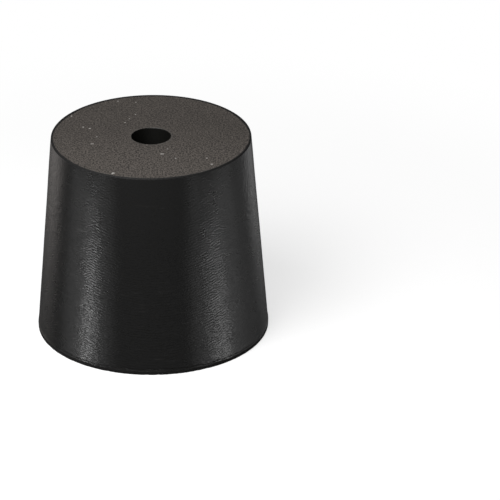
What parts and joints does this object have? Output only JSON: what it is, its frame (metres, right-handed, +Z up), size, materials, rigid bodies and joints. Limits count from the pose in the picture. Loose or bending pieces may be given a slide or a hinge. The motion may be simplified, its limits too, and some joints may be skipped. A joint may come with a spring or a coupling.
{
  "type": "rubber stopper",
  "caption": "Solid black rubber laboratory stopper, tapered from a wide end with a trimmed lip and a short upright band to a flat narrow end, with a straight hole through its middle for glass or plastic tubing.",
  "frame": {"origin": "centre of the wide face, on the axis of the hole", "axes": "+Z up the axis from the wide face to the narrow face; the part is round, so X and Y are any two directions across it"},
  "size_m": [0.028, 0.028, 0.025],
  "materials": {
    "rubber": "satin moulded side, dry and finely granular end faces"
  },
  "bodies": {
    "root": {"stopper": "rubber"}
  },
  "joints": []
}
